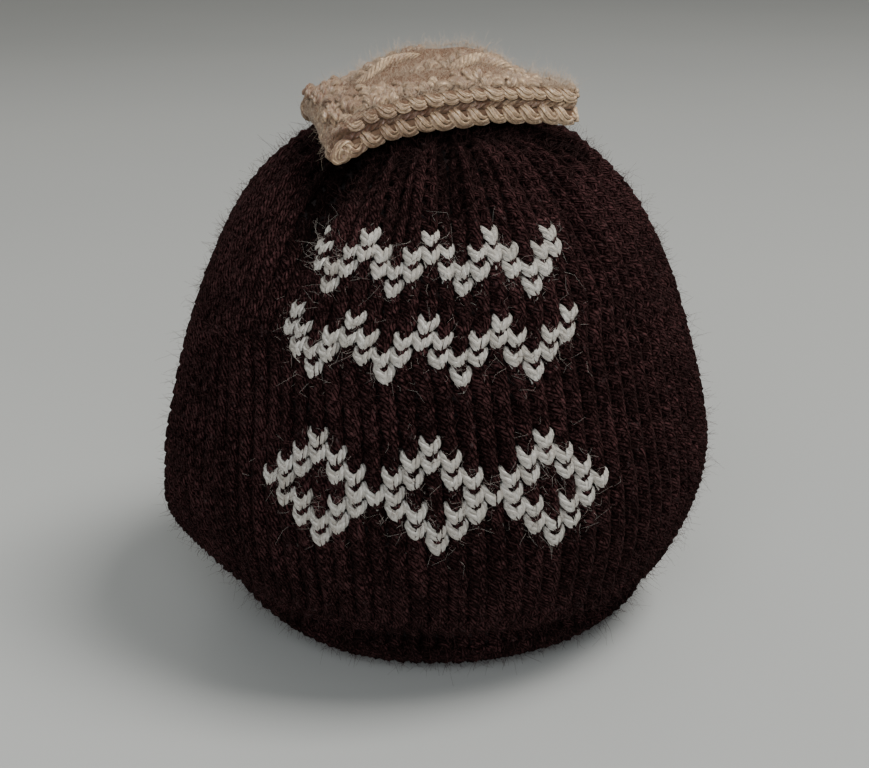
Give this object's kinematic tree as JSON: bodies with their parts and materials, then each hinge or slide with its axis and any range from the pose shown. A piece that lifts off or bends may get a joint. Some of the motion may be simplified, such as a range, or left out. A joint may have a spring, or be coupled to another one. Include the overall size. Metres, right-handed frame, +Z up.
{
  "type": "tea cosy",
  "caption": "Dark brown hand-knitted tea cosy, gathered at the top, with side openings for a teapot's spout and handle, a pale stitched motif and a small beige knitted cap on top",
  "frame": {"origin": "middle of the overall width and depth, on the plane that the hem rests on", "axes": "+Z up, the front faces -Y, the spout opening faces -X and the handle opening faces +X"},
  "size_m": [0.1624, 0.157, 0.1667],
  "materials": {
    "front_panel": "fuzzy wool and acrylic yarn, matt",
    "back_panel": "fuzzy wool and acrylic yarn, matt",
    "cap_band": "soft plied yarn with a slight lustre",
    "cap_crown": "soft plied yarn with a slight lustre"
  },
  "bodies": {
    "root": {"front_panel": "front_panel", "back_panel": "back_panel", "cap_band": "cap_band", "cap_crown": "cap_crown"}
  },
  "joints": []
}
